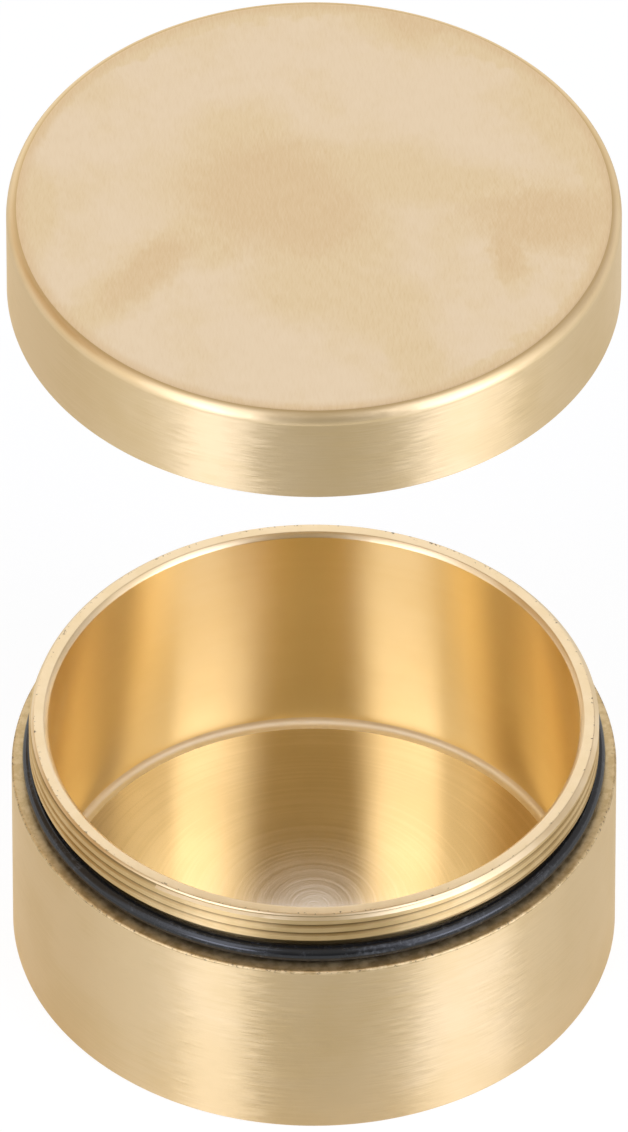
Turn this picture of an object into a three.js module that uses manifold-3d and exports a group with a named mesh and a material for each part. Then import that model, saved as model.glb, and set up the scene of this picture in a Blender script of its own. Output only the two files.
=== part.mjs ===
// Round turned brass box with a screw lid and a rubber sealing ring.
// Millimetres, +Z up, origin at the centre of the underside of the cup.
// The lid stands unscrewed, raised straight above the cup on the same axis.
import * as THREE from 'three';
import { mergeVertices } from 'three/addons/utils/BufferGeometryUtils.js';
import loadManifold from 'manifold-3d';

const wasm = await loadManifold();
wasm.setup();

// Outside of the closed box
const outerRadius = 27.5; // cup and lid share it
const shoulderHeight = 19.6; // underside of the cup to the shoulder that the lid seats on
const lidTopThickness = 3;
const lidEdgeRadius = 1.1; // round edge between the lid's top and wall
const edgeBreak = 0.15; // small bevel on every other turned edge

// Inside of the cup
const floorThickness = 1.2;
const floorFillet = 0.6; // round corner between wall and floor
const neckWall = 0.8; // thinnest wall, behind the sealing ring

// Sealing ring, of round section, lying on the shoulder
const ringSection = 1.5;
const landWidth = 1; // bare shoulder outside the ring
const ringClearance = 0.05; // ring to the shoulder and to the neck

// Neck and its right-hand thread
const neckHeight = 5.4; // shoulder to rim
const rimFlatDrop = 0.42; // bevel from the flat of the rim down to the thread
const rimInnerBevel = 0.4; // bevel from the flat of the rim down into the bore
const ringProud = 0.6; // ring stands out past the thread by this much
const threadGap = 0.65; // ring to the lowest edge of the thread
const threadPitch = 1;
const depthPerPitch = 0.28;
const crestPerPitch = 0.52;
const flankAngle = 30; // degrees, from square to the axis

// How the lid fits the cup
const seatGap = 0.1; // lid to shoulder when closed
const ringHeadroom = 0.1; // ring to the roof of the lid's mouth
const mouthClearance = 0.15; // ring to the wall of the lid's mouth
const rimHeadroom = 1.6; // rim to the ceiling of the lid's pocket
const threadClearance = 0.1; // crest to root
const flankClearance = 0.08; // flank to flank
const runoutWidth = 1.2; // plain groove above the lid's thread
const runoutDepth = 0.15; // groove beyond the root of the lid's thread
const lidLift = 59; // how far the open lid is raised off its seat

// Fineness of the round forms
const stepsPerTurn = 60;
const arcSteps = 5;
const ringSides = 12;
const mergeDistance = 1e-4;

// Radii and heights that follow
const ringOuterRadius = outerRadius - landWidth;
const ringCentreRadius = ringOuterRadius - ringSection / 2;
const ringCentreHeight = shoulderHeight + ringClearance + ringSection / 2;
const ringTop = ringCentreHeight + ringSection / 2;
const grooveRadius = ringOuterRadius - ringSection - ringClearance;
const boreRadius = grooveRadius - neckWall;
const crestRadius = ringOuterRadius - ringProud;
const rootRadius = crestRadius - depthPerPitch * threadPitch;
const threadBottom = ringTop + threadGap;
const rimHeight = shoulderHeight + neckHeight;
const lidRim = shoulderHeight + seatGap;
const mouthRoof = ringTop + ringHeadroom;
const mouthRadius = ringOuterRadius + mouthClearance;
const lidCrestRadius = rootRadius + threadClearance;
const lidRootRadius = crestRadius + threadClearance;
const pocketCeiling = rimHeight + rimHeadroom;
const runoutRadius = lidRootRadius + runoutDepth;
const lidTop = pocketCeiling + lidTopThickness;

// Solids from closed meshes, and back

function toSolid(geometry) {
  geometry.deleteAttribute('normal');
  geometry.deleteAttribute('uv');
  const merged = mergeVertices(geometry, mergeDistance);
  const index = merged.index.array;
  const triangles = [];
  for (let i = 0; i < index.length; i += 3) {
    const [a, b, c] = [index[i], index[i + 1], index[i + 2]];
    if (a !== b && b !== c && c !== a) {
      triangles.push(a, b, c);
    }
  }
  return new wasm.Manifold(new wasm.Mesh({
    numProp: 3,
    vertProperties: new Float32Array(merged.attributes.position.array),
    triVerts: new Uint32Array(triangles),
  }));
}

function toMesh(name, solid, material) {
  const { vertProperties, triVerts } = solid.getMesh();
  const geometry = new THREE.BufferGeometry();
  geometry.setAttribute('position', new THREE.BufferAttribute(vertProperties, 3));
  geometry.setIndex(new THREE.BufferAttribute(triVerts, 1));
  geometry.computeVertexNormals();
  const mesh = new THREE.Mesh(geometry, material);
  mesh.name = name;
  return mesh;
}

// A profile of [radius, height] points, turned about Z
function turned(profile) {
  const points = profile.map(([radius, height]) => new THREE.Vector2(radius, height));
  const lathe = new THREE.LatheGeometry(points, stepsPerTurn);
  lathe.rotateX(Math.PI / 2);
  return toSolid(lathe);
}

function arc(centreRadius, centreHeight, radius, fromAngle, toAngle, steps) {
  const points = [];
  for (let i = 0; i <= steps; i += 1) {
    const angle = fromAngle + ((toAngle - fromAngle) * i) / steps;
    points.push([centreRadius + radius * Math.cos(angle), centreHeight + radius * Math.sin(angle)]);
  }
  return points;
}

// A right-hand helix of one cutting section, given as [radius, height] points round the section.
// Every helix passes the +X axis at whole pitches above the shoulder, so mating threads stay in step.
function threadCutter(section, fromHeight, toHeight) {
  const firstStep = Math.floor(((fromHeight - shoulderHeight) / threadPitch) * stepsPerTurn);
  const lastStep = Math.ceil(((toHeight - shoulderHeight) / threadPitch) * stepsPerTurn);
  const positions = [];
  for (let step = firstStep; step <= lastStep; step += 1) {
    const turns = step / stepsPerTurn;
    const angle = turns * Math.PI * 2;
    for (const [radius, height] of section) {
      const rise = shoulderHeight + turns * threadPitch + height;
      positions.push(radius * Math.cos(angle), radius * Math.sin(angle), rise);
    }
  }
  const sides = section.length;
  const rings = lastStep - firstStep + 1;
  const index = [];
  for (let ring = 0; ring < rings - 1; ring += 1) {
    for (let side = 0; side < sides; side += 1) {
      const next = (side + 1) % sides;
      const low = ring * sides;
      const high = low + sides;
      index.push(low + side, high + side, high + next);
      index.push(low + side, high + next, low + next);
    }
  }
  const end = (rings - 1) * sides;
  for (let side = 1; side < sides - 1; side += 1) {
    index.push(0, side, side + 1);
    index.push(end, end + side + 1, end + side);
  }
  const geometry = new THREE.BufferGeometry();
  geometry.setAttribute('position', new THREE.Float32BufferAttribute(positions, 3));
  geometry.setIndex(index);
  return toSolid(geometry);
}

// Half the height of the neck thread's ridge at a radius
function ridgeHalfHeight(radius) {
  const flankSlope = Math.tan(THREE.MathUtils.degToRad(flankAngle));
  return (crestPerPitch * threadPitch) / 2 + (crestRadius - radius) * flankSlope;
}

function makeCup() {
  const rimFlatRadius = crestRadius - rimFlatDrop;
  const fillet = Math.min(floorFillet, boreRadius / 2, (rimHeight - floorThickness) / 2);
  const blank = turned([
    [0, 0],
    [outerRadius - edgeBreak, 0],
    [outerRadius, edgeBreak],
    [outerRadius, shoulderHeight - edgeBreak],
    [outerRadius - edgeBreak, shoulderHeight],
    [grooveRadius, shoulderHeight],
    [grooveRadius, threadBottom],
    [crestRadius, threadBottom],
    [crestRadius, rimHeight - rimFlatDrop],
    [rimFlatRadius, rimHeight],
    [boreRadius + rimInnerBevel, rimHeight],
    [boreRadius, rimHeight - rimInnerBevel],
    ...arc(boreRadius - fillet, floorThickness + fillet, fillet, 0, -Math.PI / 2, arcSteps),
    [0, floorThickness],
  ]);
  const outside = crestRadius + threadClearance;
  const rootHalf = ridgeHalfHeight(rootRadius);
  const outsideHalf = ridgeHalfHeight(outside);
  const cutter = threadCutter([
    [rootRadius, rootHalf],
    [outside, outsideHalf],
    [outside, threadPitch - outsideHalf],
    [rootRadius, threadPitch - rootHalf],
  ], threadBottom - threadPitch, rimHeight);
  return blank.subtract(cutter);
}

function makeLid() {
  const round = Math.min(lidEdgeRadius, lidTopThickness);
  const blank = turned([
    [0, pocketCeiling],
    [runoutRadius, pocketCeiling],
    [runoutRadius, pocketCeiling - runoutWidth],
    [lidCrestRadius, pocketCeiling - runoutWidth],
    [lidCrestRadius, mouthRoof],
    [mouthRadius, mouthRoof],
    [mouthRadius, lidRim],
    [outerRadius - edgeBreak, lidRim],
    [outerRadius, lidRim + edgeBreak],
    ...arc(outerRadius - round, lidTop - round, round, 0, Math.PI / 2, arcSteps),
    [0, lidTop],
  ]);
  const inside = lidCrestRadius - threadClearance;
  const mouthHalf = ridgeHalfHeight(lidCrestRadius) + flankClearance;
  const rootHalf = ridgeHalfHeight(lidRootRadius) + flankClearance;
  const cutter = threadCutter([
    [inside, -mouthHalf],
    [lidCrestRadius, -mouthHalf],
    [lidRootRadius, -rootHalf],
    [lidRootRadius, rootHalf],
    [lidCrestRadius, mouthHalf],
    [inside, mouthHalf],
  ], mouthRoof - threadPitch, pocketCeiling - runoutWidth / 2);
  return blank.subtract(cutter);
}

function makeSealRing() {
  return turned(arc(ringCentreRadius, ringCentreHeight, ringSection / 2, 0, Math.PI * 2, ringSides));
}

const brass = { color: '#d3b06f', metalness: 1 };

const cup = toMesh('cup', makeCup(), new THREE.MeshStandardMaterial({ ...brass, roughness: 0.34 }));

const sealRing = toMesh('seal_ring', makeSealRing(), new THREE.MeshStandardMaterial({
  color: '#1b1b1f',
  roughness: 0.5,
  metalness: 0,
}));

// The lid is made where it closes, then unscrewed: a whole pitch of rise for each turn
const lid = toMesh('lid', makeLid(), new THREE.MeshStandardMaterial({ ...brass, roughness: 0.42 }));
lid.position.z = lidLift;
lid.rotation.z = (lidLift / threadPitch) * Math.PI * 2;

const box = new THREE.Group();
box.add(cup, sealRing, lid);

export default box;
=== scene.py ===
import math

import bmesh
import bpy
from mathutils import Matrix, Vector


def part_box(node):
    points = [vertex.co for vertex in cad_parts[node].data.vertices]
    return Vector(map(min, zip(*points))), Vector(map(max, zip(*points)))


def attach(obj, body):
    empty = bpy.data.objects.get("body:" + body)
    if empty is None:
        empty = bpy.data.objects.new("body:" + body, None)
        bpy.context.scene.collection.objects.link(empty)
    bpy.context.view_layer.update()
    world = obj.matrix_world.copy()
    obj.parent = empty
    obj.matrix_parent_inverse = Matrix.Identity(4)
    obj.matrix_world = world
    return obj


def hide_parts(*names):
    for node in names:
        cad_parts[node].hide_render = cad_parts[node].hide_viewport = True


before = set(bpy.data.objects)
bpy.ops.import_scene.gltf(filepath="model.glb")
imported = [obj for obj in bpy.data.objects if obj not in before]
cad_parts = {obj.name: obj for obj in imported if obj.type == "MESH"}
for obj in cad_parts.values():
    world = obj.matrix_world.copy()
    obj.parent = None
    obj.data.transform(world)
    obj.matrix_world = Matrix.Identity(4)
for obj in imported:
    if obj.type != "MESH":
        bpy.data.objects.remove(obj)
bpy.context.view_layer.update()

# Round turned brass box: threaded cup, rubber ring on its shoulder, screw lid raised above it.
# Metres, +Z up, the box's axis on Z.

mm = 0.001
print("frame loaded:", ", ".join(sorted(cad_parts)))

_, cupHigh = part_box("cup")
ringLow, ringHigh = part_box("seal_ring")
lidLow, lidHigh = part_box("lid")

# Turning: what every turned piece shares
turning = {
    "steps": 256,           # facets in one turn
    "fineSegments": 2,      # on the smallest rounds
    "roundSegments": 3,     # on a small broken edge
    "filletSegments": 8,    # on a round that shows
    "roundOver": 1.6,       # a round starts this much further from its corner than the bevel it stands for
    "sharpAngle": 38,       # degrees, a harder corner stays an edge
    "mergeDistance": 0.0001 * mm,
    "faceLines": 1.37,      # turning lines lie this much closer across a face than up a wall
}


def outlineMesh(corners):
    # corners of a half section: radius, height, rounding, segments of the rounding
    bm = bmesh.new()
    verts = [bm.verts.new((radius, 0, height)) for radius, height, _, _ in corners]
    for first, second in zip(verts, verts[1:]):
        bm.edges.new((first, second))
    for vert, (_, _, rounding, segments) in zip(verts, corners):
        if rounding:
            bmesh.ops.bevel(bm, geom=[vert], affect="VERTICES", offset_type="OFFSET", offset=rounding,
                            segments=segments, profile=0.5, material=-1)
    return bm


def spinRound(bm):
    bmesh.ops.spin(bm, geom=bm.verts[:] + bm.edges[:], cent=(0, 0, 0), axis=(0, 0, 1), dvec=(0, 0, 0),
                   angle=math.tau, steps=turning["steps"], use_merge=True, use_duplicate=False)
    bmesh.ops.remove_doubles(bm, verts=bm.verts[:], dist=turning["mergeDistance"])
    bmesh.ops.recalc_face_normals(bm, faces=bm.faces[:])


def threadCutter(section, startHeight, pitch, turns):
    # one right-hand helix of a closed section, which starts on the +X axis
    bm = bmesh.new()
    verts = [bm.verts.new((radius, 0, startHeight + height)) for radius, height in section]
    for first, second in zip(verts, verts[1:] + verts[:1]):
        bm.edges.new((first, second))
    steps = round(turns * turning["steps"])
    bmesh.ops.spin(bm, geom=bm.verts[:] + bm.edges[:], cent=(0, 0, 0), axis=(0, 0, 1),
                   dvec=(0, 0, pitch * turns / steps), angle=math.tau * turns, steps=steps,
                   use_merge=False, use_duplicate=False)
    bmesh.ops.holes_fill(bm, edges=[edge for edge in bm.edges if edge.is_boundary], sides=0)
    bmesh.ops.recalc_face_normals(bm, faces=bm.faces[:])
    return bm


def addObject(name, bm):
    mesh = bpy.data.meshes.new(name)
    bm.to_mesh(mesh)
    bm.free()
    piece = bpy.data.objects.new(name, mesh)
    bpy.context.scene.collection.objects.link(piece)
    return piece


def applyModifiers(piece):
    depsgraph = bpy.context.evaluated_depsgraph_get()
    finished = bpy.data.meshes.new_from_object(piece.evaluated_get(depsgraph),
                                               preserve_all_data_layers=True, depsgraph=depsgraph)
    piece.modifiers.clear()
    piece.data = finished
    finished.name = piece.name


def cutThread(piece, cutterMesh):
    cutter = addObject("thread_cutter", cutterMesh)
    cut = piece.modifiers.new("thread", "BOOLEAN")
    cut.operation = "DIFFERENCE"
    cut.solver = "EXACT"
    cut.object = cutter
    applyModifiers(piece)
    bpy.data.objects.remove(cutter)


def finishSurface(piece, finishes, zoneOf):
    # one material for each zone of the piece, then even shading over its round edges
    mesh = piece.data
    mesh.materials.clear()
    zones = list(finishes)
    for zone in zones:
        mesh.materials.append(finishes[zone])
    for face in mesh.polygons:
        radius = math.hypot(face.center.x, face.center.y)
        outward = (face.normal.x * face.center.x + face.normal.y * face.center.y) / max(radius, mm)
        face.material_index = zones.index(zoneOf(radius, face.center.z, outward, face.normal.z))
    mesh.shade_smooth()
    mesh.set_sharp_from_angle(angle=math.radians(turning["sharpAngle"]))
    even = piece.modifiers.new("even", "WEIGHTED_NORMAL")
    even.mode = "FACE_AREA_WITH_ANGLE"
    even.weight = 50
    even.keep_sharp = True
    applyModifiers(piece)
    print(piece.name, "-", len(piece.data.polygons), "faces,", len(zones), "finishes")


# Material helpers


def newMaterial(name):
    material = bpy.data.materials.new(name)
    material.use_nodes = True
    tree = material.node_tree
    return material, tree, tree.nodes["Principled BSDF"]


def addNode(tree, kind, inputs=None, **settings):
    node = tree.nodes.new(kind)
    for name, value in settings.items():
        setattr(node, name, value)
    for name, value in (inputs or {}).items():
        if isinstance(value, bpy.types.NodeSocket):
            tree.links.new(value, node.inputs[name])
        else:
            node.inputs[name].default_value = value
    return node


def mathNode(tree, operation, first, second=0.0, third=0.0):
    return addNode(tree, "ShaderNodeMath", {0: first, 1: second, 2: third}, operation=operation).outputs[0]


def vectorNode(tree, operation, first, second=(0, 0, 0), output=0):
    return addNode(tree, "ShaderNodeVectorMath", {0: first, 1: second}, operation=operation).outputs[output]


def scaledVector(tree, vector, scale):
    return addNode(tree, "ShaderNodeVectorMath", {0: vector, "Scale": scale}, operation="SCALE").outputs[0]


def rangeNode(tree, value, fromMin, fromMax, toMin, toMax, smooth=False):
    return addNode(tree, "ShaderNodeMapRange", {
        "Value": value, "From Min": fromMin, "From Max": fromMax, "To Min": toMin, "To Max": toMax,
    }, interpolation_type="SMOOTHSTEP" if smooth else "LINEAR").outputs["Result"]


def fadeNode(tree, value, edges, start=0, end=1):
    # a soft step from one value to another between two edges
    return rangeNode(tree, value, *edges, start, end, smooth=True)


def mixColour(tree, share, first, second):
    mix = addNode(tree, "ShaderNodeMix", data_type="RGBA")
    for index, value in ((0, share), (6, first), (7, second)):
        if isinstance(value, bpy.types.NodeSocket):
            tree.links.new(value, mix.inputs[index])
        else:
            mix.inputs[index].default_value = value if index == 0 else (*value, 1)
    return mix.outputs[2]


def noiseNode(tree, vector, scale, detail, roughness=0.5):
    return addNode(tree, "ShaderNodeTexNoise", {
        "Vector": vector, "Scale": scale, "Detail": detail, "Roughness": roughness,
    }).outputs["Fac"]


def objectPoint(tree):
    return addNode(tree, "ShaderNodeTexCoord").outputs["Object"]


def flatten(tree, point):
    return vectorNode(tree, "MULTIPLY", point, (1, 1, 0))


def reachOf(tree, point):
    # distance from the axis
    return vectorNode(tree, "LENGTH", flatten(tree, point), output=1)


def turnedPoint(tree, streakLength, streakWidth, radius):
    # lines round the axis: long along the turn, fine up a wall or out across a face
    point = objectPoint(tree)
    direction = vectorNode(tree, "NORMALIZE", flatten(tree, point))
    around = scaledVector(tree, direction, radius / streakLength)
    height = addNode(tree, "ShaderNodeSeparateXYZ", {0: point}).outputs["Z"]
    travel = mathNode(tree, "MULTIPLY_ADD", reachOf(tree, point), turning["faceLines"], height)
    lines = mathNode(tree, "DIVIDE", travel, streakWidth)
    step = addNode(tree, "ShaderNodeCombineXYZ", {"Z": lines}).outputs[0]
    return vectorNode(tree, "ADD", around, step)


def addBump(tree, shader, height, strength, distance):
    bump = addNode(tree, "ShaderNodeBump", {"Height": height, "Strength": strength, "Distance": distance})
    tree.links.new(bump.outputs["Normal"], shader.inputs["Normal"])


def addTurnedSheen(tree, shader, anisotropy):
    # the lines spread a highlight across themselves
    tangent = addNode(tree, "ShaderNodeTangent", direction_type="RADIAL", axis="Z").outputs["Tangent"]
    tree.links.new(tangent, shader.inputs["Tangent"])
    shader.inputs["Anisotropic"].default_value = anisotropy
    shader.inputs["Anisotropic Rotation"].default_value = 0.25
    return tangent


def addSway(tree, shader, tangent, lines, amount):
    # each fine line turns the surface a little to one side, which frays the edge of a highlight
    surface = shader.inputs["Normal"].links[0].from_socket
    turn = mathNode(tree, "MULTIPLY", mathNode(tree, "SUBTRACT", lines, 0.5), amount)
    swayed = vectorNode(tree, "ADD", surface, scaledVector(tree, tangent, turn))
    tree.links.new(vectorNode(tree, "NORMALIZE", swayed), shader.inputs["Normal"])


# Brass, turned or grimy

turnedGrain = {
    "streakRoughness": 0.6, "cloudDetail": 3.0, "cloudRoughness": 0.55, "hairDetail": 2.0,
    "toneEdges": (0.35, 0.65),      # of the noise, where the metal goes from deep to pale
    "glossEdges": (0.3, 0.7),       # of the noise, where it goes from its low to its high roughness
}


def turnedBrass(name, look):
    grain = turnedGrain
    material, tree, shader = newMaterial(name)
    shader.inputs["Metallic"].default_value = 1
    lines = turnedPoint(tree, look["streakLength"], look["streakWidth"], look["radius"])
    streaks = noiseNode(tree, lines, 1.0, look["streakDetail"], grain["streakRoughness"])
    clouds = noiseNode(tree, objectPoint(tree), 1 / look["cloudSize"], grain["cloudDetail"],
                       grain["cloudRoughness"])
    unevenness = mathNode(tree, "SUBTRACT", streaks, 0.5)
    tone = mathNode(tree, "MULTIPLY_ADD", unevenness, look["streakTone"], clouds)
    metal = mixColour(tree, fadeNode(tree, tone, grain["toneEdges"]), look["deep"], look["pale"])
    if "dirtAndShade" in look:    # darker inside a radius: partly old dirt, partly painted shade in the thread roots and a painted dark reflection on the lid's round edge
        inner, fade, most = look["dirtAndShadeReach"]
        darkened = fadeNode(tree, reachOf(tree, objectPoint(tree)), (inner, inner + fade), most, 0)
        metal = mixColour(tree, darkened, metal, look["dirtAndShade"])
    tree.links.new(metal, shader.inputs["Base Color"])
    tree.links.new(rangeNode(tree, streaks, *grain["glossEdges"], *look["roughness"]),
                   shader.inputs["Roughness"])
    addBump(tree, shader, streaks, 1.0, look["streakDepth"])
    tangent = addTurnedSheen(tree, shader, look["anisotropy"])
    fineLines = turnedPoint(tree, look["hairLength"], look["hairWidth"], look["radius"])
    addSway(tree, shader, tangent, noiseNode(tree, fineLines, 1.0, grain["hairDetail"]), look["sway"])
    return material


grime = {
    "cloudDetail": 4.0, "cloudRoughness": 0.6, "toneEdges": (0.35, 0.65), "glossEdges": (0.3, 0.7),
    "speckDetail": 5.0, "speckRoughness": 0.65, "speckSoftness": 0.09,
    "cover": 0.8,       # how much of the metal's sheen a speck hides
}


def grimyBrass(name, look):
    # dull face with dark specks gathered towards one radius
    material, tree, shader = newMaterial(name)
    point = objectPoint(tree)
    clouds = noiseNode(tree, point, 1 / look["cloudSize"], grime["cloudDetail"], grime["cloudRoughness"])
    metal = mixColour(tree, fadeNode(tree, clouds, grime["toneEdges"]), look["deep"], look["pale"])
    away = mathNode(tree, "ABSOLUTE", mathNode(tree, "SUBTRACT", reachOf(tree, point), look["speckRadius"]))
    near = rangeNode(tree, away, 0.0, look["speckReach"], look["speckShare"], 0.0)
    specks = noiseNode(tree, point, 1 / look["speckSize"], grime["speckDetail"], grime["speckRoughness"])
    edges = (look["speckEdge"], look["speckEdge"] + grime["speckSoftness"])
    darkened = fadeNode(tree, mathNode(tree, "ADD", specks, near), edges)
    hidden = mathNode(tree, "MULTIPLY", darkened, grime["cover"])
    tree.links.new(mixColour(tree, darkened, metal, look["dirtAndShade"]), shader.inputs["Base Color"])
    tree.links.new(mathNode(tree, "SUBTRACT", 1.0, hidden), shader.inputs["Metallic"])
    tree.links.new(rangeNode(tree, clouds, *grime["glossEdges"], *look["roughness"]),
                   shader.inputs["Roughness"])
    addBump(tree, shader, specks, 1.0, look["depth"])
    return material


# Brushed wall, which the cup and the lid share
brushedWall = {
    "pale": (0.845, 0.66, 0.40), "deep": (0.80, 0.61, 0.34), "radius": cupHigh.x,
    "streakLength": 5 * mm, "streakWidth": 0.16 * mm, "streakDetail": 3.0, "streakTone": 0.5,
    "streakDepth": 0.001 * mm, "cloudSize": 14 * mm, "roughness": (0.37, 0.42), "anisotropy": 0.98,
    "hairLength": 2.2 * mm, "hairWidth": 0.11 * mm, "sway": 0.20,
}

# Cup

polishedBore = {
    "pale": (0.955, 0.745, 0.36), "deep": (0.93, 0.715, 0.33), "radius": 24.15 * mm,
    "streakLength": 40 * mm, "streakWidth": 0.8 * mm, "streakDetail": 0.0, "streakTone": 0.15,
    "streakDepth": 0.0001 * mm, "cloudSize": 10 * mm, "roughness": (0.278, 0.29), "anisotropy": 0.97,
    "hairLength": 40 * mm, "hairWidth": 0.8 * mm, "sway": 0.003,
}

cup = {
    "outerRadius": cupHigh.x,
    "rimHeight": cupHigh.z,
    "shoulderHeight": 19.6 * mm,
    "boreRadius": 24.15 * mm,
    "floorHeight": 1.2 * mm,
    "floorFillet": 0.6 * mm,
    "cornerRing": 0.3 * mm,         # outermost ring of the floor, as matte as the fillet
    "grooveRadius": 24.95 * mm,     # behind the sealing ring
    "grooveFillet": 0.12 * mm,
    "crestRadius": 25.9 * mm,       # outside of the thread
    "rootRadius": 25.62 * mm,
    "threadBottom": 21.8 * mm,
    "pitch": 1 * mm,
    "crestWidth": 0.52 * mm,
    "flankAngle": 30,
    "rimBevel": 0.42 * mm,          # from the flat of the rim down to the thread
    "rimRound": 0.08 * mm,
    "innerBevel": 0.4 * mm,         # from the flat of the rim down into the bore
    "innerRound": 0.06 * mm,
    "brokenEdge": 0.15 * mm,
    "cutterTurns": 5,
    "cutterReach": 0.1 * mm,        # the thread's cutter stands out past the metal
    "shoulderReach": 0.2 * mm,      # the shoulder's finish goes this far up the groove
    "zoneSlack": 0.02 * mm,
    "looks": {
        "bore": polishedBore,
        "corner": {
            **polishedBore, "pale": (0.93, 0.81, 0.61), "deep": (0.90, 0.77, 0.56),
            "roughness": (0.52, 0.60), "anisotropy": 0.0, "sway": 0.02,
        },
        "floor": {
            "pale": (0.83, 0.73, 0.625), "deep": (0.78, 0.675, 0.56), "radius": 16 * mm,
            "streakLength": 40 * mm, "streakWidth": 0.36 * mm, "streakDetail": 1.0, "streakTone": 0.7,
            "streakDepth": 0.0045 * mm, "cloudSize": 9 * mm, "roughness": (0.145, 0.185), "anisotropy": 0.75,
            "hairLength": 20 * mm, "hairWidth": 0.14 * mm, "sway": 0.01,
        },
        "neck": {
            "pale": (0.83, 0.635, 0.345), "deep": (0.73, 0.535, 0.26), "radius": 25.7 * mm,
            "streakLength": 7 * mm, "streakWidth": 0.2 * mm, "streakDetail": 3.0, "streakTone": 0.6,
            "streakDepth": 0.001 * mm, "cloudSize": 5 * mm, "roughness": (0.42, 0.48), "anisotropy": 0.98,
            "hairLength": 3 * mm, "hairWidth": 0.1 * mm, "sway": 0.1,
            # The dark brown inside the root radius is grime, with painted shade in the thread grooves.
            "dirtAndShade": (0.12, 0.08, 0.035), "dirtAndShadeReach": (25.62 * mm, 0.2 * mm, 0.5),
        },
        "bevel": {
            "pale": (0.87, 0.70, 0.46), "deep": (0.82, 0.64, 0.39), "radius": 25.7 * mm,
            "streakLength": 7 * mm, "streakWidth": 0.2 * mm, "streakDetail": 3.0, "streakTone": 0.6,
            "streakDepth": 0.0005 * mm, "cloudSize": 5 * mm, "roughness": (0.30, 0.38), "anisotropy": 0.6,
            "hairLength": 3 * mm, "hairWidth": 0.1 * mm, "sway": 0.05,
        },
        "shoulder": {
            # The land's dark brown is grime, darkened further as painted shade under the rubber ring; its
            # specks are dirt.
            "pale": (0.74, 0.58, 0.34), "deep": (0.56, 0.41, 0.21), "cloudSize": 0.8 * mm,
            "dirtAndShade": (0.22, 0.15, 0.075), "speckRadius": 27.42 * mm, "speckReach": 0.25 * mm,
            "speckShare": 0.13, "speckSize": 0.3 * mm, "speckEdge": 0.66,
            "roughness": (0.40, 0.54), "depth": 0.004 * mm,
        },
        "rim": {
            "pale": (0.84, 0.67, 0.44), "deep": (0.78, 0.61, 0.38), "cloudSize": 3 * mm,
            "dirtAndShade": (0.12, 0.08, 0.04), "speckRadius": 25.4 * mm, "speckReach": 0.4 * mm,
            "speckShare": 0.14, "speckSize": 0.35 * mm, "speckEdge": 0.7,
            "roughness": (0.28, 0.36), "depth": 0.002 * mm,
        },
    },
}


def ridgeHalfHeight(radius):
    return cup["crestWidth"] / 2 + (cup["crestRadius"] - radius) * math.tan(math.radians(cup["flankAngle"]))


def cupZone(radius, height, outward, upward):
    edge, slack = cup["brokenEdge"], cup["zoneSlack"]
    floorRadius = cup["boreRadius"] - cup["floorFillet"] - cup["cornerRing"]
    if radius > cup["outerRadius"] - edge * 2 and height < cup["shoulderHeight"] - edge * 1.5:
        return "wall"
    if height < cup["floorHeight"] / 2 and upward < 0:
        return "underside"
    if height < cup["shoulderHeight"] + cup["shoulderReach"] and radius > cup["grooveRadius"]:
        return "shoulder"
    if radius < floorRadius and height < cup["floorHeight"] * 2:
        return "floor"
    if height < cup["floorHeight"] + cup["floorFillet"] and radius < cup["boreRadius"]:
        return "corner"
    if radius < cup["boreRadius"] + slack:
        return "bore"
    if upward > 0.95 and height > cup["rimHeight"] - slack:
        return "rim"
    if height > cup["rimHeight"] - cup["rimBevel"] and upward > 0.5:
        return "bevel"
    return "neck"


def makeCup():
    fine, small = turning["fineSegments"], turning["roundSegments"]
    edgeRound = cup["brokenEdge"] * turning["roundOver"]
    outer, crest, root = cup["outerRadius"], cup["crestRadius"], cup["rootRadius"]
    groove, bore = cup["grooveRadius"], cup["boreRadius"]
    top, shoulder, floor = cup["rimHeight"], cup["shoulderHeight"], cup["floorHeight"]
    bm = outlineMesh([
        (0, 0, 0, 0),
        (outer, 0, edgeRound, small),
        (outer, shoulder, edgeRound, small),
        (groove, shoulder, cup["grooveFillet"], small),
        (groove, cup["threadBottom"], cup["grooveFillet"], small),
        (crest, cup["threadBottom"], 0, 0),
        (crest, top - cup["rimBevel"], 0, 0),
        (crest - cup["rimBevel"], top, cup["rimRound"], fine),
        (bore + cup["innerBevel"], top, cup["innerRound"], fine),
        (bore, top - cup["innerBevel"], cup["innerRound"], fine),
        (bore, floor, cup["floorFillet"], turning["filletSegments"]),
        (bore - cup["floorFillet"] - cup["cornerRing"], floor, 0, 0),
        (0, floor, 0, 0),
    ])
    spinRound(bm)
    piece = addObject("brass_cup", bm)
    outside = crest + cup["cutterReach"]
    rootHalf = ridgeHalfHeight(root)
    outsideHalf = ridgeHalfHeight(outside)
    pitch = cup["pitch"]
    cutThread(piece, threadCutter([
        (root, rootHalf),
        (outside, outsideHalf),
        (outside, pitch - outsideHalf),
        (root, pitch - rootHalf),
    ], shoulder + pitch, pitch, cup["cutterTurns"]))
    looks = cup["looks"]
    wall = turnedBrass("cup_wall_brass", brushedWall)
    finishSurface(piece, {
        "wall": wall,
        "underside": wall,
        "shoulder": grimyBrass("cup_shoulder_brass", looks["shoulder"]),
        "floor": turnedBrass("cup_floor_brass", looks["floor"]),
        "corner": turnedBrass("cup_corner_brass", looks["corner"]),
        "bore": turnedBrass("cup_bore_brass", looks["bore"]),
        "rim": grimyBrass("cup_rim_brass", looks["rim"]),
        "bevel": turnedBrass("cup_bevel_brass", looks["bevel"]),
        "neck": turnedBrass("cup_neck_brass", looks["neck"]),
    }, cupZone)
    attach(piece, "cup")
    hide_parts("cup")


makeCup()

# Sealing ring

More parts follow.
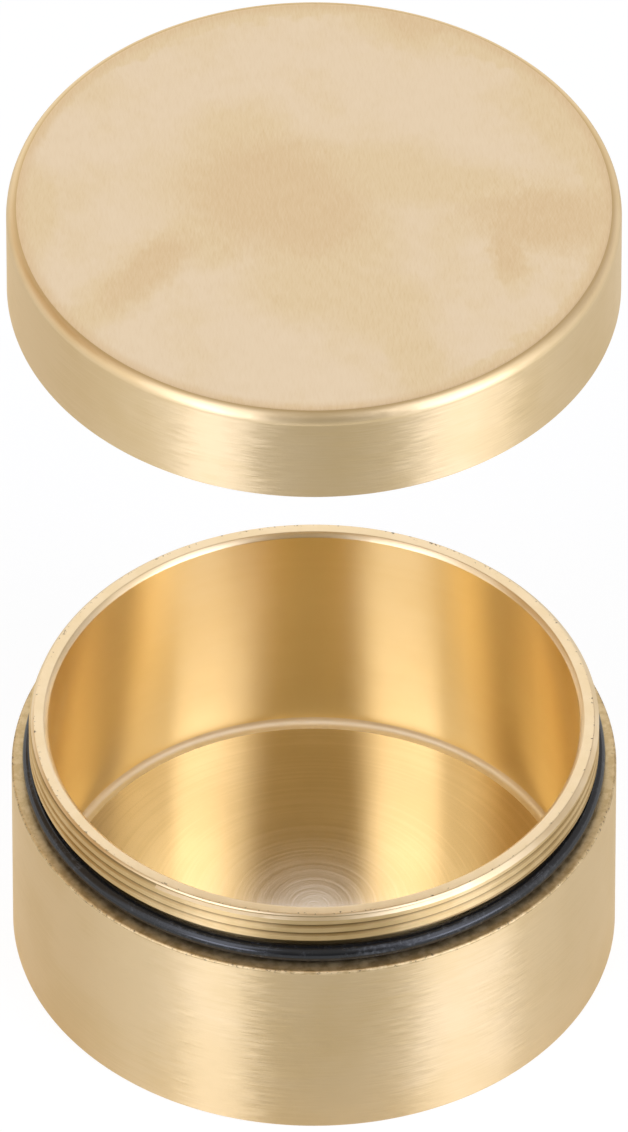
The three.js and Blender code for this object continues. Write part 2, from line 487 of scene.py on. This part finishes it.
ring = {
    "centreRadius": ringHigh.x - (ringHigh.z - ringLow.z) / 2,
    "sectionRadius": (ringHigh.z - ringLow.z) / 2,
    "centreHeight": (ringHigh.z + ringLow.z) / 2,
    "sides": 40,
    "colour": (0.009, 0.010, 0.012),
    "dust": (0.16, 0.165, 0.175),
    "smearLength": 6 * mm, "smearWidth": 0.35 * mm, "smearDetail": 3.0, "smearRoughness": 0.6,
    "dustSize": 0.5 * mm, "dustDetail": 4.0, "dustRoughness": 0.7,
    "dustEdges": (0.26, 0.5), "dustShare": 0.5,
    "glossEdges": (0.35, 0.65), "roughness": (0.12, 0.30),
    "bump": 0.6, "depth": 0.01 * mm,
}


def rubber():
    material, tree, shader = newMaterial("ring_rubber")
    lines = turnedPoint(tree, ring["smearLength"], ring["smearWidth"], ring["centreRadius"])
    smear = noiseNode(tree, lines, 1.0, ring["smearDetail"], ring["smearRoughness"])
    dust = noiseNode(tree, objectPoint(tree), 1 / ring["dustSize"], ring["dustDetail"],
                     ring["dustRoughness"])
    dusty = fadeNode(tree, mathNode(tree, "MULTIPLY", smear, dust), ring["dustEdges"], 0, ring["dustShare"])
    tree.links.new(mixColour(tree, dusty, ring["colour"], ring["dust"]), shader.inputs["Base Color"])
    tree.links.new(rangeNode(tree, smear, *ring["glossEdges"], *ring["roughness"]),
                   shader.inputs["Roughness"])
    addBump(tree, shader, dust, ring["bump"], ring["depth"])
    return material


def makeRing():
    bm = bmesh.new()
    bmesh.ops.create_circle(bm, segments=ring["sides"], radius=ring["sectionRadius"])
    upright = Vector((0, 0, 1)).rotation_difference(Vector((0, -1, 0))).to_matrix()
    bmesh.ops.rotate(bm, verts=bm.verts[:], cent=(0, 0, 0), matrix=upright)
    bmesh.ops.translate(bm, verts=bm.verts[:], vec=(ring["centreRadius"], 0, ring["centreHeight"]))
    spinRound(bm)
    piece = addObject("rubber_ring", bm)
    finishSurface(piece, {"rubber": rubber()}, lambda *place: "rubber")
    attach(piece, "seal_ring")
    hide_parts("seal_ring")


makeRing()

# Lid, made where it closes and then raised to where the frame has it

threadClearance = 0.1 * mm      # crest to root, lid to cup

lid = {
    "outerRadius": lidHigh.x,
    "closedRim": 19.7 * mm,
    "height": lidHigh.z - lidLow.z,
    "edgeRadius": 1.1 * mm,
    "topThickness": 3 * mm,
    "mouthRadius": 26.65 * mm,
    "mouthRoof": 21.25 * mm,
    "mouthRound": 0.1 * mm,
    "crestRadius": cup["rootRadius"] + threadClearance,
    "rootRadius": cup["crestRadius"] + threadClearance,
    "runoutRadius": 26.15 * mm,
    "runoutWidth": 1.2 * mm,
    "flankClearance": 0.08 * mm,
    "cutterTurns": 6.4,
    "cutterReach": 0.1 * mm,        # the thread's cutter stands in past the metal
    "brokenEdge": 0.15 * mm,
    "pocketFillet": 0.3 * mm,
    "zoneSlack": 0.05 * mm,
    "looks": {
        "edge": {
            **brushedWall, "roughness": (0.40, 0.45), "anisotropy": 0.7, "sway": 0.08,
            # The brown band over the upper round edge is a dirt line where the top meets the round, widened
            # into a painted dark reflection of the room.
            "dirtAndShade": (0.46, 0.30, 0.12), "dirtAndShadeReach": (26.45 * mm, 0.65 * mm, 0.85),
        },
        "pocket": {
            "pale": (0.87, 0.70, 0.45), "deep": (0.83, 0.65, 0.39), "radius": 26 * mm,
            "streakLength": 8 * mm, "streakWidth": 0.2 * mm, "streakDetail": 3.0, "streakTone": 0.5,
            "streakDepth": 0.0006 * mm, "cloudSize": 8 * mm, "roughness": (0.30, 0.36), "anisotropy": 0.8,
            "hairLength": 4 * mm, "hairWidth": 0.12 * mm, "sway": 0.05,
        },
        "top": {
            "pale": (0.82, 0.672, 0.487),
            "olive": (0.775, 0.615, 0.385),
            "brown": (0.735, 0.55, 0.34),
            "oliveStains": [    # mm: across, away, half length, half width, and the turn of its length
                (-6.5, 8.5, 5.0, 5.2, 0),
                (-4.5, 2.4, 9.8, 7.5, 0),
                (4.6, 3.8, 8.5, 4.5, 0),
                (13.1, 2.4, 7.2, 3.3, 0),
                (1.3, -4.7, 7.2, 7.1, 0),
                (0.0, -10.3, 6.5, 5.2, 0),
                (6.2, -13.2, 4.6, 5.7, 0),
                (9.2, -19.8, 6.6, 3.0, 100),
                (-9.7, -3.7, 4.2, 4.2, 0),
                (-16.5, -9.8, 11.0, 3.0, 50),
                (20.3, -0.9, 7.5, 5.2, 0),
                (17.6, -7.0, 4.0, 2.0, 100),
                (8.5, 23.7, 7.2, 2.6, -15),
                (-24.7, -0.9, 6.0, 2.3, 90),
                (21.5, 11.0, 7.0, 3.4, 120),
            ],
            "brownStains": [
                (-3.9, 1.5, 6.8, 6.4, 0),
                (0.0, -1.8, 4.8, 4.4, 0),
                (-15.0, -8.4, 5.2, 2.3, 50),
                (20.9, -1.4, 6.4, 3.8, 0),
                (17.3, -6.0, 3.2, 1.6, 100),
                (9.2, 24.6, 4.5, 1.7, -15),
            ],
            "stainEdge": 0.5,           # softness of a stain's edge, as a share of its size
            "stainJoin": 0.15,          # how softly two stains run together
            "oliveShare": 0.78, "brownShare": 0.64,
            "wander": 2.4 * mm, "wanderSize": 7 * mm,
            "ragged": 1.3 * mm, "raggedSize": 1.3 * mm,
            "strayDetail": 3.0,
            "rimCentre": (-1.0, -0.7),  # mm, the clean field lies off centre: the stained rim is uneven
            "rimEdges": (24.9 * mm, 25.9 * mm), "rimShare": 0.8,
            "lineEdges": (25.3 * mm, 26.5 * mm), "lineShare": 0.7,
            "cloudSize": 9 * mm, "cloudDetail": 5.0, "cloudRoughness": 0.6,
            "cloudEdges": (0.42, 0.7), "cloudShare": 0.55,
            "strokeLength": 1.5 * mm, "strokeWidth": 0.16 * mm, "strokeTurns": (78, 92, 104),
            "strokeDetail": 2.0, "strokeRoughness": 0.6,
            "cleanRub": 0.4, "stainRub": 1.3,       # the strokes show more where it is stained
            "hatchCentre": (19.0, -1.0), "hatchEdges": (4.5 * mm, 9 * mm), "hatchTurns": (62, 118),
            "oliveGrain": 1.1, "brownGrain": 0.9, "grainDepth": 0.002 * mm,
            "glossEdges": (0.35, 0.65), "roughness": (0.42, 0.52),
            "flatTint": (0.45, 0.37, 0.26),   # the tarnish dulls what the top mirrors at a flat angle
        },
    },
}
lidRise = lidLow.z - lid["closedRim"]


def strokeNoise(tree, point, turn, look):
    mapping = addNode(tree, "ShaderNodeMapping", {
        "Vector": point, "Rotation": (0, 0, math.radians(turn)),
        "Scale": (look["strokeLength"], look["strokeWidth"], 1),
    }, vector_type="TEXTURE").outputs[0]
    return noiseNode(tree, mapping, 1.0, look["strokeDetail"], look["strokeRoughness"])


def meanStrokes(tree, point, turns, look):
    # about zero, from strokes that lie in several directions
    total = strokeNoise(tree, point, turns[0], look)
    for turn in turns[1:]:
        total = mathNode(tree, "ADD", total, strokeNoise(tree, point, turn, look))
    return mathNode(tree, "SUBTRACT", mathNode(tree, "DIVIDE", total, len(turns)), 0.5)


def stainMask(tree, flat, stains, look):
    # ellipses joined into one patch
    field = None
    for across, away, halfLength, halfWidth, turn in stains:
        local = addNode(tree, "ShaderNodeMapping", {
            "Vector": flat, "Location": (across * mm, away * mm, 0), "Rotation": (0, 0, math.radians(turn)),
            "Scale": (halfLength * mm, halfWidth * mm, 1),
        }, vector_type="TEXTURE").outputs[0]
        inside = mathNode(tree, "SUBTRACT", 1.0, vectorNode(tree, "LENGTH", local, output=1))
        field = inside if field is None else mathNode(tree, "SMOOTH_MAX", field, inside, look["stainJoin"])
    return fadeNode(tree, field, (-look["stainEdge"], look["stainEdge"]))


def strayOf(tree, point, size, reach, detail):
    drift = addNode(tree, "ShaderNodeTexNoise", {"Vector": point, "Scale": 1 / size, "Detail": detail})
    middle = vectorNode(tree, "SUBTRACT", drift.outputs["Color"], (0.5, 0.5, 0.5))
    return vectorNode(tree, "MULTIPLY", middle, (2 * reach, 2 * reach, 0))


def distanceTo(tree, flat, place):
    across, away = place
    return vectorNode(tree, "DISTANCE", flat, (across * mm, away * mm, 0), output=1)


def lidTopBrass():
    # matte top: soft tarnish stains, a stained rim, and fine strokes
    look = lid["looks"]["top"]
    material, tree, shader = newMaterial("lid_top_brass")
    shader.inputs["Metallic"].default_value = 1
    point = flatten(tree, objectPoint(tree))
    wander = strayOf(tree, point, look["wanderSize"], look["wander"], look["strayDetail"])
    ragged = strayOf(tree, point, look["raggedSize"], look["ragged"], look["strayDetail"])
    flat = vectorNode(tree, "ADD", point, vectorNode(tree, "ADD", wander, ragged))
    rimReach = distanceTo(tree, flat, look["rimCentre"])
    rimmed = fadeNode(tree, rimReach, look["rimEdges"], 0, look["rimShare"])
    lined = fadeNode(tree, reachOf(tree, point), look["lineEdges"], 0, look["lineShare"])
    clouds = noiseNode(tree, point, 1 / look["cloudSize"], look["cloudDetail"], look["cloudRoughness"])
    faint = fadeNode(tree, clouds, look["cloudEdges"], 0, look["cloudShare"])
    oliveMask = stainMask(tree, flat, look["oliveStains"], look)
    olive = mathNode(tree, "MULTIPLY", oliveMask, look["oliveShare"])
    olive = mathNode(tree, "MAXIMUM", mathNode(tree, "MAXIMUM", olive, rimmed), faint)
    brownMask = stainMask(tree, flat, look["brownStains"], look)
    brown = mathNode(tree, "MULTIPLY", brownMask, look["brownShare"])
    brown = mathNode(tree, "MAXIMUM", brown, lined)
    strokes = meanStrokes(tree, point, look["strokeTurns"], look)
    hatch = meanStrokes(tree, point, look["hatchTurns"], look)
    hatched = fadeNode(tree, distanceTo(tree, flat, look["hatchCentre"]), look["hatchEdges"], 1, 0)
    rubbed = mathNode(tree, "MULTIPLY_ADD", olive, look["stainRub"], look["cleanRub"])
    grain = mathNode(tree, "MULTIPLY_ADD", hatch, hatched, mathNode(tree, "MULTIPLY", strokes, rubbed))
    oliveHere = mathNode(tree, "MULTIPLY_ADD", grain, look["oliveGrain"], olive)
    brownHere = mathNode(tree, "MULTIPLY_ADD", grain, look["brownGrain"], brown)
    metal = mixColour(tree, oliveHere, look["pale"], look["olive"])
    metal = mixColour(tree, brownHere, metal, look["brown"])
    tree.links.new(metal, shader.inputs["Base Color"])
    gloss = mathNode(tree, "ADD", strokes, 0.5)
    tree.links.new(rangeNode(tree, gloss, *look["glossEdges"], *look["roughness"]),
                   shader.inputs["Roughness"])
    shader.inputs["Specular Tint"].default_value = (*look["flatTint"], 1)
    addBump(tree, shader, mathNode(tree, "ADD", grain, 0.5), 1.0, look["grainDepth"])
    return material


def lidZone(radius, height, outward, upward):
    top = lidHigh.z
    if upward > 0.97 and height > top - lid["zoneSlack"]:
        return "top"
    if height > top - lid["edgeRadius"] and outward > 0:
        return "edge"
    if radius > lid["outerRadius"] - lid["brokenEdge"] * 2 and outward > 0.1:
        return "wall"
    return "pocket"


def makeLid():
    fine, small = turning["fineSegments"], turning["roundSegments"]
    outer, rim = lid["outerRadius"], lid["closedRim"]
    crest, root = lid["crestRadius"], lid["rootRadius"]
    top = rim + lid["height"]
    ceiling = top - lid["topThickness"]
    runoutEnd = ceiling - lid["runoutWidth"]
    bm = outlineMesh([
        (0, ceiling, 0, 0),
        (lid["runoutRadius"], ceiling, lid["pocketFillet"], small),
        (lid["runoutRadius"], runoutEnd, 0, 0),
        (crest, runoutEnd, 0, 0),
        (crest, lid["mouthRoof"], lid["mouthRound"], fine),
        (lid["mouthRadius"], lid["mouthRoof"], lid["mouthRound"], fine),
        (lid["mouthRadius"], rim, lid["mouthRound"], fine),
        (outer, rim, lid["brokenEdge"] * turning["roundOver"], small),
        (outer, top, lid["edgeRadius"], turning["filletSegments"]),
        (0, top, 0, 0),
    ])
    spinRound(bm)
    piece = addObject("brass_lid", bm)
    inside = crest - lid["cutterReach"]
    mouthHalf = ridgeHalfHeight(crest) + lid["flankClearance"]
    rootHalf = ridgeHalfHeight(root) + lid["flankClearance"]
    cutThread(piece, threadCutter([
        (inside, -mouthHalf),
        (crest, -mouthHalf),
        (root, -rootHalf),
        (root, rootHalf),
        (crest, mouthHalf),
        (inside, mouthHalf),
    ], cup["shoulderHeight"], cup["pitch"], lid["cutterTurns"]))
    piece.data.transform(Matrix.Translation((0, 0, lidRise)))
    finishSurface(piece, {
        "top": lidTopBrass(),
        "edge": turnedBrass("lid_edge_brass", lid["looks"]["edge"]),
        "wall": turnedBrass("lid_wall_brass", brushedWall),
        "pocket": turnedBrass("lid_pocket_brass", lid["looks"]["pocket"]),
    }, lidZone)
    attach(piece, "lid")
    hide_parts("lid")


makeLid()

# Studio

studio = {
    "floorSize": 0.75,
    "floorSeen": 0.18,      # the floor's own share of what the camera sees, with its shadows
    "floorWhite": 0.875,    # white that the camera sees on top of that share
    "floorMirrored": (0.82, 0.80, 0.71),
    "floorGlow": 0.18,      # added to the floor as the brass mirrors it
    "floorRoughness": 0.9,
    "ambient": 0.5,
    "frontTurn": 6,         # degrees to the right of the camera, where the room is dark
    "frontEdges": (0.78, 0.95),
    "frontLow": (0.14, 0.115, 0.065),
    "frontHigh": (0.46, 0.425, 0.35),
    "frontRise": (0.3, 0.7),
    "sideLevel": (1.24, 1.23, 1.26),
    "backEdges": (-0.82, -0.93),
    "backLevel": (1.24, 1.24, 1.24),
    "cornerEdges": (0.25, -0.05),           # the room between the sides and the back, above the floor
    "cornerRise": (0.1, 0.3),
    "cornerSplit": (-0.1, 0.1),
    "leftCorner": (0.56, 0.38, 0.19),
    "rightCorner": (0.58, 0.54, 0.52),
    "topRise": (0.80, 0.93),
    "topLevel": (0.52, 0.48, 0.42),
    "lampDistance": 1.0,
    "softboxes": [          # turns and elevations in degrees, turns to the right of the camera
        {"name": "left_low", "turn": -31.5, "elevation": 9, "width": 0.40, "height": 0.36,
         "power": 1.75, "colour": (0.93, 1.0, 1.28)},
        {"name": "right_low", "turn": 51, "elevation": 9, "width": 0.60, "height": 0.36,
         "power": 2.5, "colour": (0.93, 1.0, 1.28)},
        {"name": "left_high", "turn": -40, "elevation": 44, "width": 0.45, "height": 0.70,
         "power": 1.40, "colour": (0.93, 1.0, 1.26)},
        {"name": "right_high", "turn": 45, "elevation": 44, "width": 0.50, "height": 0.70,
         "power": 1.47, "colour": (0.93, 1.0, 1.26)},
    ],
    "aim": Vector((0, 0, 44.1 * mm)),
    "cameraElevation": 43.7,
    "cameraDistance": 2.6,
    "cameraReach": 20,
    "viewHeight": 102.26 * mm,      # what the frame takes in at the box's axis
    "sensorHeight": 36,
}


def seenRays(tree):
    rays = addNode(tree, "ShaderNodeLightPath").outputs
    seen = mathNode(tree, "MAXIMUM", rays["Is Camera Ray"], rays["Is Transmission Ray"])
    return seen, rays["Is Glossy Ray"]


def makeFloor():
    bm = bmesh.new()
    bmesh.ops.create_grid(bm, x_segments=1, y_segments=1, size=studio["floorSize"])
    floor = addObject("floor", bm)
    material, tree, shader = newMaterial("floor_paper")
    seen, mirrored = seenRays(tree)
    tree.links.new(mixColour(tree, seen, studio["floorMirrored"], (studio["floorSeen"],) * 3),
                   shader.inputs["Base Color"])
    shader.inputs["Emission Color"].default_value = (1, 1, 1, 1)
    glow = mathNode(tree, "MULTIPLY", mirrored, studio["floorGlow"])
    tree.links.new(mathNode(tree, "MULTIPLY_ADD", seen, studio["floorWhite"], glow),
                   shader.inputs["Emission Strength"])
    shader.inputs["Roughness"].default_value = studio["floorRoughness"]
    shader.inputs["Specular IOR Level"].default_value = 0
    floor.data.materials.append(material)


def makeWorld():
    # white to the camera; the brass mirrors a room with a dark front, pale sides and a pale back
    world = bpy.data.worlds.new("studio")
    bpy.context.scene.world = world
    world.use_nodes = True
    tree = world.node_tree
    background = tree.nodes["Background"]
    direction = addNode(tree, "ShaderNodeTexCoord").outputs["Generated"]
    turn = math.radians(studio["frontTurn"])
    level = vectorNode(tree, "NORMALIZE", flatten(tree, direction))
    facing = vectorNode(tree, "DOT_PRODUCT", level, (math.sin(turn), -math.cos(turn), 0), output=1)
    height = addNode(tree, "ShaderNodeSeparateXYZ", {0: direction}).outputs["Z"]
    across = addNode(tree, "ShaderNodeSeparateXYZ", {0: level}).outputs["X"]
    dark = mixColour(tree, fadeNode(tree, height, studio["frontRise"]), studio["frontLow"],
                     studio["frontHigh"])
    corner = mathNode(tree, "MULTIPLY", fadeNode(tree, facing, studio["cornerEdges"]),
                      fadeNode(tree, height, studio["cornerRise"]))
    rightward = rangeNode(tree, across, *studio["cornerSplit"], 0, 1)
    cornerLevel = mixColour(tree, rightward, studio["leftCorner"], studio["rightCorner"])
    room = mixColour(tree, corner, studio["sideLevel"], cornerLevel)
    room = mixColour(tree, fadeNode(tree, facing, studio["backEdges"]), room, studio["backLevel"])
    room = mixColour(tree, fadeNode(tree, facing, studio["frontEdges"]), room, dark)
    room = mixColour(tree, fadeNode(tree, height, studio["topRise"]), room, studio["topLevel"])
    seen, mirrored = seenRays(tree)
    lit = mixColour(tree, mirrored, (studio["ambient"],) * 3, room)
    tree.links.new(mixColour(tree, seen, lit, (1, 1, 1)), background.inputs["Color"])
    background.inputs["Strength"].default_value = 1


def placeAround(item, turn, elevation, distance):
    # turn 0 is the camera's side, -Y
    across, up = math.radians(turn), math.radians(elevation)
    away = Vector((math.sin(across) * math.cos(up), -math.cos(across) * math.cos(up), math.sin(up)))
    item.location = studio["aim"] + away * distance
    item.rotation_euler = away.to_track_quat("Z", "Y").to_euler()


def makeLamps():
    for box in studio["softboxes"]:
        lamp = bpy.data.lights.new(box["name"], "AREA")
        lamp.shape = "RECTANGLE"
        lamp.size, lamp.size_y = box["width"], box["height"]
        lamp.energy = box["power"]
        lamp.color = box["colour"]
        item = bpy.data.objects.new(box["name"], lamp)
        bpy.context.scene.collection.objects.link(item)
        placeAround(item, box["turn"], box["elevation"], studio["lampDistance"])
        item.visible_camera = False


def makeCamera():
    camera = bpy.data.cameras.new("camera")
    camera.sensor_fit = "VERTICAL"
    camera.sensor_height = studio["sensorHeight"]
    camera.lens = studio["sensorHeight"] * studio["cameraDistance"] / studio["viewHeight"]
    camera.clip_end = studio["cameraReach"]
    item = bpy.data.objects.new("camera", camera)
    bpy.context.scene.collection.objects.link(item)
    placeAround(item, 0, studio["cameraElevation"], studio["cameraDistance"])
    bpy.context.scene.camera = item


makeFloor()
makeWorld()
makeLamps()
makeCamera()
bpy.context.scene.view_settings.view_transform = "Standard"
print("studio ready")
